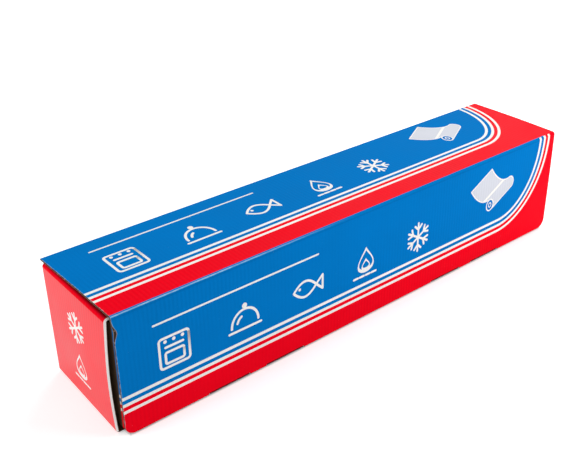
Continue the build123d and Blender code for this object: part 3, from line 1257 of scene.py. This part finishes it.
def lid_print(sizes, layout, colours):
    """Print of the lid: red and blue fields, cracked along the top fold, with painted shade along a
    crease under it, and rubbed at the ends.
    """
    material, tree, shader = new_material("lid_print", 0.4, PRINT_GLOSS)
    line = lid_line(sizes)
    fold, foot = top_fold(line), line.distance[-1]
    place = object_place(tree)
    axes, surface = parts(tree, place), surface_place(tree)
    level = surface["Y"]
    on_flap = calc(tree, "GREATER_THAN", level, fold)
    base = calc(tree, "MULTIPLY_ADD", on_flap, foot - fold, fold)
    curves = [panel_curve(layout, panel, layout.field_level) for panel in ("top", "front")]
    start, reach, drop = (
        calc(tree, "MULTIPLY_ADD", on_flap, front - top, top) for top, front in zip(*curves)
    )
    field = use_group(
        tree, "Print field", print_field,
        Along=surface["X"], Level=calc(tree, "SUBTRACT", base, level),
        Start=start, Reach=reach, Centre=layout.curve_centre, Drop=drop,
    )
    ink = mixed(tree, field["Blue"], opaque(colours.red), opaque(colours.blue))
    # Painted shade: a thin darker line along a crease under the top fold
    from_crease = away(tree, level, fold + CREASE_LEVEL)
    crease = smooth_step(tree, from_crease, 0.2 * MM, 0.8 * MM, 0.24, 0.0)
    crease_shaded = mixed(tree, crease, ink, shaded(tree, ink, CREASE_SHADE))
    wander = calc(tree, "MULTIPLY_ADD", noise(tree, place, 90.0), 0.3 * MM, fold + CRACK_LEVEL)
    crack = smooth_step(tree, away(tree, level, wander), 0.1 * MM, 0.45 * MM, 1.0, 0.0)
    fade = smooth_step(tree, axes["X"], lid_low.x + 0.06, lid_low.x + 0.22, 0.95, 0.0)
    patches = smooth_step(tree, noise(tree, place, 210.0), 0.3, 0.6, 0.55, 1.0)
    worn = calc(tree, "MULTIPLY", crack, calc(tree, "MULTIPLY", fade, patches))
    cracked = mixed(tree, worn, crease_shaded, opaque(colours.worn))
    from_end = calc(tree, "SUBTRACT", surface["X"], lid_low.x)
    end_rub = smooth_step(tree, from_end, 0.1 * MM, 0.6 * MM, 0.5, 0.0)
    print_finish(
        tree, shader, cracked, opaque(colours.worn), place, axes["X"], end_rub,
        sizes.flute_pitch, field["Blue"],
    )
    return material


def tray_print(sizes, layout, colours):
    """Print of the tray's walls: red below and blue above, with white stripes between them."""
    material, tree, shader = new_material("tray_print", 0.4, PRINT_GLOSS)
    place = object_place(tree)
    axes = parts(tree, place)
    blue = calc(tree, "GREATER_THAN", axes["Z"], layout.field_level)
    ink = mixed(tree, blue, opaque(colours.red), opaque(colours.blue))
    from_low = calc(tree, "SUBTRACT", axes["Z"], layout.stripe_low)
    turn = calc(tree, "DIVIDE", from_low, layout.stripe_pitch)
    white_share = layout.stripe_width / layout.stripe_pitch
    in_stripe = calc(tree, "LESS_THAN", calc(tree, "FRACT", turn), white_share)
    half_band = STRIPE_COUNT / 2
    in_band = calc(tree, "LESS_THAN", away(tree, turn, half_band), half_band)
    white = calc(tree, "MULTIPLY", in_stripe, in_band)
    striped = mixed(tree, white, ink, opaque(colours.white))
    print_finish(
        tree, shader, striped, opaque(colours.bare), place, axes["X"], 0.0, sizes.flute_pitch, blue
    )
    return material


def end_print(name, sizes, colours, gloss):
    """Red print of the end panels, with painted shade where its top fold runs in under the lid."""
    material, tree, shader = new_material(name, 0.35, gloss)
    place = object_place(tree)
    along = parts(tree, place)["Y"]
    start, end = end_line(sizes).folds[0]
    # Painted shade: the lip and the first two thirds of the top fold darken towards dark red under
    # the lid
    dull = smooth_step(tree, surface_place(tree)["Y"], start, (start + 2 * end) / 3, 0.85, 0.0)
    ink = mixed(tree, dull, opaque(colours.red), opaque(colours.painted_shade_red))
    print_finish(tree, shader, ink, opaque(colours.white), place, along, 0.0, sizes.flute_pitch)
    return material


def ink_film(name, sizes, tint, worn, gloss):
    """Ink of one colour, with the same mottle and washboard as the board under it."""
    material, tree, shader = new_material(name, 0.4, gloss)
    place = object_place(tree)
    axes = parts(tree, place)
    along = calc(tree, "ADD", axes["X"], calc(tree, "MULTIPLY", axes["Y"], FLUTE_LEAN))
    print_finish(tree, shader, opaque(tint), opaque(worn), place, along, 0.0, sizes.flute_pitch)
    return material


def paper(name, sizes, tint, fluted):
    """Unprinted paper with its fibres, over flutes where it is a liner of the board."""
    material, tree, shader = new_material(name, 0.85, 0.2)
    place = object_place(tree)
    fibre = fibres(tree, place)
    shade, height = fibre["Shade"], fibre["Height"]
    if fluted:
        flute = flutes(tree, parts(tree, place)["X"], sizes.flute_pitch, place)
        shade = calc(tree, "MULTIPLY", shade, flute["Shade"])
        height = calc(tree, "MULTIPLY_ADD", height, 0.3, flute["Height"])
    dress(tree, shader, shaded(tree, opaque(tint), shade), height, PAPER_RELIEF)
    return material


def white_edge(colours):
    """Edge of the end panels: white outer paper that darkens towards the inner paper."""
    material, tree, shader = new_material("white_edge", 0.8, 0.2)
    fibre = fibres(tree, object_place(tree))
    inner = smooth_step(tree, surface_place(tree)["Y"], 0.8, 1.0)
    tint = mixed(tree, inner, opaque(colours.rim), opaque(colours.edge))
    shade = calc(tree, "MULTIPLY_ADD", fibre["Shade"], 0.1, 0.91)
    dress(tree, shader, shaded(tree, tint, shade), fibre["Height"], RIM_RELIEF)
    return material


def edge_finish(tree, shader, colours, place, paper_here):
    """Finish of cut edges: paper where the mask is 1, and hollows in painted shade where it is 0.
    """
    tint = mixed(tree, paper_here, opaque(colours.hollow_shade), opaque(colours.edge))
    shade = fibres(tree, place)["Shade"]
    dress(tree, shader, shaded(tree, tint, shade), paper_here, EDGE_RELIEF)


def cut_edge(sizes, colours):
    """Edge cut across the flutes: two liners with the wave of the fluting between them."""
    material, tree, shader = new_material("cut_edge", 0.9, 0.1)
    surface = surface_place(tree)
    phase = calc(tree, "MULTIPLY", surface["X"], 2 * pi / sizes.flute_pitch)
    wave = calc(tree, "MULTIPLY_ADD", calc(tree, "SINE", phase), 0.3, 0.5)
    fluting = smooth_step(tree, away(tree, surface["Y"], wave), 0.1, 0.2, 1.0, 0.0)
    liner = smooth_step(tree, away(tree, surface["Y"], 0.5), 0.3, 0.38)
    paper_here = calc(tree, "MAXIMUM", fluting, liner)
    edge_finish(tree, shader, colours, object_place(tree), paper_here)
    return material


def side_edge(colours):
    """Edge cut along the flutes: torn liners with broken dashes of fluting and hollows in painted
    shade.
    """
    material, tree, shader = new_material("side_edge", 0.9, 0.1)
    place = object_place(tree)
    dashes = smooth_step(tree, noise(tree, place, 330.0, 2.0), 0.54, 0.64)
    liner = smooth_step(tree, away(tree, surface_place(tree)["Y"], 0.5), 0.26, 0.36)
    edge_finish(tree, shader, colours, place, calc(tree, "MAXIMUM", liner, dashes))
    return material


def metal_tint(tree, shader, tint, lines, clouds, shade, rough):
    """Colour of bare metal, whose shade follows its fine lines, and its roughness.

    Shade is the gain of the lines and a base. Rough is the gains of the lines and of the clouds,
    and a base.
    """
    line_gain, cloud_gain, smooth = rough
    dull = calc(tree, "MULTIPLY_ADD", clouds, cloud_gain, smooth)
    roughness = calc(tree, "MULTIPLY_ADD", lines, line_gain, dull)
    fill(tree, shader.inputs["Roughness"], roughness)
    return shaded(tree, opaque(tint), calc(tree, "MULTIPLY_ADD", lines, *shade))


def bright_foil(colours):
    """Wound foil: bright metal with fine rolling lines round the roll and soft creases."""
    material, tree, shader = new_material("bright_foil", 0.25, 0.5, 1.0)
    place = object_place(tree)
    rolling = noise(tree, place, 1.0, 4.0, (1400.0, 6.0, 6.0))
    crease = noise(tree, place, 1.0, 5.0, (26.0, 120.0, 120.0))
    shade, rough = (0.14, 0.9), (0.16, 0.2, 0.16)
    tint = metal_tint(tree, shader, colours.foil, rolling, crease, shade, rough)
    dress(tree, shader, tint, crease, FOIL_RELIEF, 0.4)
    return material


def cutter_steel(colours):
    """Tinned strip: brushed along its length, with dull spots."""
    material, tree, shader = new_material("cutter_steel", 0.3, 0.5, 1.0)
    place = object_place(tree)
    grain = noise(tree, place, 1.0, 4.0, (30.0, 2600.0, 2600.0))
    spots = noise(tree, place, 160.0, 3.0)
    shade, rough = (0.24, 0.84), (0.2, 0.16, 0.12)
    tint = metal_tint(tree, shader, colours.steel, grain, spots, shade, rough)
    dress(tree, shader, tint, grain, STEEL_RELIEF)
    return material


def core_paper(sizes, colours):
    """Spiral-wound paper: fibres, and the seam of the outer ply winding along the tube."""
    material, tree, shader = new_material("core_paper", 0.85, 0.2)
    place = object_place(tree)
    axes, fibre = parts(tree, place), fibres(tree, place)
    up = calc(tree, "SUBTRACT", axes["Z"], roll_axis.z)
    back = calc(tree, "SUBTRACT", axes["Y"], roll_axis.y)
    turn = calc(tree, "DIVIDE", calc(tree, "ARCTAN2", up, back), 2 * pi)
    pitches = calc(tree, "DIVIDE", axes["X"], sizes.ply_pitch)
    along = calc(tree, "FRACT", calc(tree, "ADD", pitches, turn))
    seam = smooth_step(tree, away(tree, along, 0.5), 0.006, 0.014)
    shade = calc(tree, "MULTIPLY", fibre["Shade"], calc(tree, "MULTIPLY_ADD", seam, 0.35, 0.65))
    height = calc(tree, "MULTIPLY_ADD", fibre["Height"], 0.2, seam)
    dress(tree, shader, shaded(tree, opaque(colours.core), shade), height, PLY_RELIEF)
    return material


# Stage

# Name, place and size of each light, and the setting that gives its power
LIGHTS = (
    ("key_light", (0.62, -0.72, 0.5), 0.5, "key_power"),
    ("fill_light", (-1.5, 0.25, 0.9), 1.2, "fill_power"),
    ("back_light", (1.2, 0.7, 1.1), 1.2, "back_power"),
)

# Inset of the end panels' feet, and distances from the carton's foot over which the floor's white
# grows close to the carton and far off
FOOT_INSET = 4.0 * MM
NEAR_FLOOR = (-1.0 * MM, 1.5 * MM)
FAR_FLOOR = (0.3, 1.2)


def white_to_camera(tree):
    """1 where a surface is seen, straight, mirrored or through glass, and 0 elsewhere."""
    path = node(tree, "ShaderNodeLightPath").outputs
    seen = calc(tree, "MAXIMUM", path["Is Camera Ray"], path["Is Glossy Ray"])
    return calc(tree, "MAXIMUM", seen, path["Is Transmission Ray"])


def floor_material(colours, stage):
    """Pale floor that takes the shadow, with white added where it is seen.

    The white fades out under the carton and grows far off.
    """
    material, tree, shader = new_material("stage_floor", 0.9, 0.0)
    place = object_place(tree)
    axes = parts(tree, place)
    past_end = calc(tree, "SUBTRACT", calc(tree, "ABSOLUTE", axes["X"]), lid_high.x - FOOT_INSET)
    past_side = calc(tree, "SUBTRACT", calc(tree, "ABSOLUTE", axes["Y"]), lid_high.y)
    past = calc(tree, "MAXIMUM", past_end, past_side)
    grain = calc(tree, "MULTIPLY_ADD", noise(tree, place, 300.0), 0.02, 0.99)
    fill(tree, shader.inputs["Base Color"], shaded(tree, opaque(colours.floor), grain))
    shader.inputs["Emission Color"].default_value = (1, 1, 1, 1)
    near = smooth_step(tree, past, *NEAR_FLOOR, 0.0, stage.floor_glow)
    far = smooth_step(tree, past, *FAR_FLOOR, 0.0, stage.far_glow)
    white = calc(tree, "MULTIPLY", calc(tree, "ADD", near, far), white_to_camera(tree))
    fill(tree, shader.inputs["Emission Strength"], white)
    return material


def add_floor(colours, stage):
    """Square floor just under the carton."""
    reach, drop = stage.floor_reach, stage.floor_drop
    ways = ((-1, -1), (1, -1), (1, 1), (-1, 1))
    mesh = bpy.data.meshes.new("stage_floor")
    mesh.from_pydata([(x * reach, y * reach, -drop) for x, y in ways], [], [(0, 1, 2, 3)])
    mesh.materials.append(floor_material(colours, stage))
    floor = bpy.data.objects.new("stage_floor", mesh)
    bpy.context.scene.collection.objects.link(floor)
    return floor


def white_world(stage):
    """Even pale light all round, plain white where it is seen."""
    world = bpy.data.worlds.new("stage_world")
    world.use_nodes = True
    tree = world.node_tree
    background = tree.nodes["Background"]
    background.inputs["Color"].default_value = (1, 1, 1, 1)
    strength = calc(tree, "MULTIPLY_ADD", white_to_camera(tree), 1 - stage.sky, stage.sky)
    fill(tree, background.inputs["Strength"], strength)
    return world


def soft_light(name, place, size, power):
    """Square area light that faces the middle of the carton."""
    lamp = bpy.data.lights.new(name, "AREA")
    lamp.shape = "SQUARE"
    lamp.size = size
    lamp.energy = power
    light = bpy.data.objects.new(name, lamp)
    light.location = place
    aim = Vector((0, 0, lid_high.z / 2)) - light.location
    light.rotation_euler = aim.to_track_quat("-Z", "Y").to_euler()
    bpy.context.scene.collection.objects.link(light)


def add_camera(stage):
    """Camera at an azimuth, an elevation and a distance from its target."""
    lens = bpy.data.cameras.new("camera")
    lens.lens = stage.lens
    lens.sensor_fit = "HORIZONTAL"
    lens.sensor_width = 36.0
    lens.clip_start = 0.01
    camera = bpy.data.objects.new("camera", lens)
    level = cos(stage.elevation)
    back = Vector((sin(stage.azimuth) * level, -cos(stage.azimuth) * level, sin(stage.elevation)))
    camera.location = Vector(stage.target) + back * stage.distance
    camera.rotation_euler = back.to_track_quat("Z", "Y").to_euler()
    bpy.context.scene.collection.objects.link(camera)
    bpy.context.scene.camera = camera


# Operators


class FOIL_CARTON_OT_lid_board(bpy.types.Operator):
    """Build the folded lid board with its print"""

    bl_idname = "foil_carton.lid_board"
    bl_label = "Lid Board"

    def execute(self, context):
        sizes, layout, colours = settings(context)
        finishes = [
            lid_print(sizes, layout, colours),
            paper("kraft_liner", sizes, colours.kraft, True),
            cut_edge(sizes, colours),
            side_edge(colours),
            # Torn paper in the notches, coloured in painted shade
            paper("torn_paper", sizes, colours.painted_shade_red, False),
        ]
        shells = [lid_shell(sizes), *torn_shade_strips(sizes)]
        lid = make_piece("lid_board", shells, finishes, merged=True)
        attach(lid, "lid")
        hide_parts("lid")
        return {"FINISHED"}


class FOIL_CARTON_OT_carton_tray(bpy.types.Operator):
    """Build the tray with its end panels and dust flaps"""

    bl_idname = "foil_carton.carton_tray"
    bl_label = "Carton Tray"

    def execute(self, context):
        sizes, layout, colours = settings(context)
        finishes = [
            tray_print(sizes, layout, colours),
            paper("kraft_tray_liner", sizes, colours.kraft, True),
            cut_edge(sizes, colours),
            side_edge(colours),
            paper("bare_board", sizes, colours.bare, True),
            end_print("end_print", sizes, colours, END_GLOSS),
            end_print("end_fold_print", sizes, colours, PRINT_GLOSS),
            white_edge(colours),
        ]
        back_dust_top = tray_middles(sizes)["lip"] - sizes.board / 2 - sizes.dust_gap
        front_dust = dust_shell(sizes, "front", 1, sizes.front_top)
        flaps = [end_shell(sizes), front_dust, dust_shell(sizes, "back", -1, back_dust_top)]
        shells = [wall_shell(sizes), *flaps, *(mirrored(flap) for flap in flaps)]
        tray = make_piece("carton_tray", shells, finishes)
        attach(tray, "carton")
        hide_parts("carton_body")
        return {"FINISHED"}


class FOIL_CARTON_OT_white_print(bpy.types.Operator):
    """Print the white stripes and pictograms on the lid and the end panels"""

    bl_idname = "foil_carton.white_print"
    bl_label = "White Print"

    def execute(self, context):
        sizes, layout, colours = settings(context)
        line = lid_line(sizes)
        fold, foot = top_fold(line), line.distance[-1]
        heights = {"front": foot - fold, "top": fold}
        white = ink_film("white_ink", sizes, colours.white, colours.bare, PRINT_GLOSS)
        pale = ink_film("pale_ink", sizes, colours.pale, colours.white, PRINT_GLOSS)
        lift, centre = layout.ink_lift, (layout.roll_sign_place, layout.roll_sign_level)
        sheet, shine, lines = (
            placed(sign, centre, 1.0)
            for sign in (roll_fill_sign(), roll_fill_sign(0.3, 0.38), roll_line_sign())
        )
        for panel, height in heights.items():
            bands = stripes(layout, panel, height - layout.stripe_margin)
            films = lid_ink(sizes, layout, panel, bands, lift)
            films += lid_ink(sizes, layout, panel, panel_signs(layout), lift)
            films += lid_ink(sizes, layout, panel, shine, 2 * lift)
            films += lid_ink(sizes, layout, panel, lines, 3 * lift)
            print_piece = make_piece(panel + "_white_print", films, [white], merged=True)
            shade = lid_ink(sizes, layout, panel, sheet, lift)
            shade_piece = make_piece(panel + "_pale_print", shade, [pale], merged=True)
            for piece in (print_piece, shade_piece):
                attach(piece, "lid")
        gloss_white = ink_film("end_white_ink", sizes, colours.white, colours.bare, END_GLOSS)
        middle = -sum(end_reach(sizes)) / 2
        signs = placed(frost_sign(), (middle, layout.end_high), layout.end_scale)
        signs += placed(flame_sign(), (middle, layout.end_low), layout.end_scale)
        films = end_ink(sizes, layout, signs)
        films += [mirrored(film) for film in films]
        end_piece = make_piece("end_white_print", films, [gloss_white], merged=True)
        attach(end_piece, "carton")
        return {"FINISHED"}


class FOIL_CARTON_OT_wound_foil(bpy.types.Operator):
    """Build the wound foil with its loose end"""

    bl_idname = "foil_carton.wound_foil"
    bl_label = "Wound Foil"

    def execute(self, context):
        sizes, colours = context.scene.carton_sizes, context.scene.carton_colours
        roll = make_piece("wound_foil", [roll_shell(sizes)], [bright_foil(colours)])
        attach(roll, "carton")
        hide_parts("foil_roll")
        return {"FINISHED"}


class FOIL_CARTON_OT_paper_core(bpy.types.Operator):
    """Build the paper core"""

    bl_idname = "foil_carton.paper_core"
    bl_label = "Paper Core"

    def execute(self, context):
        sizes, colours = context.scene.carton_sizes, context.scene.carton_colours
        core = make_piece("paper_core", [core_shell(sizes)], [core_paper(sizes, colours)])
        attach(core, "carton")
        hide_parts("core_tube")
        return {"FINISHED"}


class FOIL_CARTON_OT_cutter_strip(bpy.types.Operator):
    """Finish the cutter strip in brushed metal"""

    bl_idname = "foil_carton.cutter_strip"
    bl_label = "Cutter Strip"

    def execute(self, context):
        strip = frame["nodes"]["cutter_blade"]
        strip.data.materials.clear()
        strip.data.materials.append(cutter_steel(context.scene.carton_colours))
        return {"FINISHED"}


class FOIL_CARTON_OT_stage(bpy.types.Operator):
    """Set up the floor, the lights and the camera"""

    bl_idname = "foil_carton.stage"
    bl_label = "Stage"

    def execute(self, context):
        scene, stage = context.scene, context.scene.carton_stage
        floor = add_floor(scene.carton_colours, stage)
        scene.world = white_world(stage)
        for name, place, size, power in LIGHTS:
            soft_light(name, place, size, getattr(stage, power))
        add_camera(stage)
        scene.view_settings.view_transform = "Standard"
        return {"FINISHED"}


class FOIL_CARTON_PT_panel(bpy.types.Panel):
    """Sidebar panel with the steps and the settings"""

    bl_label = "Foil Carton"
    bl_idname = "FOIL_CARTON_PT_panel"
    bl_space_type = "VIEW_3D"
    bl_region_type = "UI"
    bl_category = "Foil Carton"

    def draw(self, context):
        for step in STEPS:
            self.layout.operator(step.bl_idname)
        for group in GROUPS:
            box = self.layout.box()
            values = getattr(context.scene, group)
            for name in values.bl_rna.properties.keys():
                if name not in ("rna_type", "name"):
                    box.prop(values, name)


GROUPS = {
    "carton_sizes": CartonSizes,
    "carton_print": PrintLayout,
    "carton_colours": CartonColours,
    "carton_stage": StageSettings,
}

STEPS = (
    FOIL_CARTON_OT_lid_board,
    FOIL_CARTON_OT_carton_tray,
    FOIL_CARTON_OT_white_print,
    FOIL_CARTON_OT_wound_foil,
    FOIL_CARTON_OT_paper_core,
    FOIL_CARTON_OT_cutter_strip,
    FOIL_CARTON_OT_stage,
)


def settings(context):
    """Sizes, print layout and colours of the scene."""
    scene = context.scene
    return scene.carton_sizes, scene.carton_print, scene.carton_colours


def register():
    """Register the settings, the steps and the panel."""
    for group in GROUPS.values():
        bpy.utils.register_class(group)
    for step in STEPS:
        bpy.utils.register_class(step)
    bpy.utils.register_class(FOIL_CARTON_PT_panel)
    for name, group in GROUPS.items():
        setattr(bpy.types.Scene, name, PointerProperty(type=group))


def unregister():
    """Take the settings, the steps and the panel away again."""
    for name in GROUPS:
        delattr(bpy.types.Scene, name)
    bpy.utils.unregister_class(FOIL_CARTON_PT_panel)
    for step in reversed(STEPS):
        bpy.utils.unregister_class(step)
    for group in reversed(GROUPS.values()):
        bpy.utils.unregister_class(group)


def main():
    """Build the carton and its stage."""
    register()
    bpy.ops.foil_carton.lid_board()
    bpy.ops.foil_carton.carton_tray()
    bpy.ops.foil_carton.white_print()
    bpy.ops.foil_carton.wound_foil()
    bpy.ops.foil_carton.paper_core()
    bpy.ops.foil_carton.cutter_strip()
    bpy.ops.foil_carton.stage()


if __name__ == "__main__":
    main()
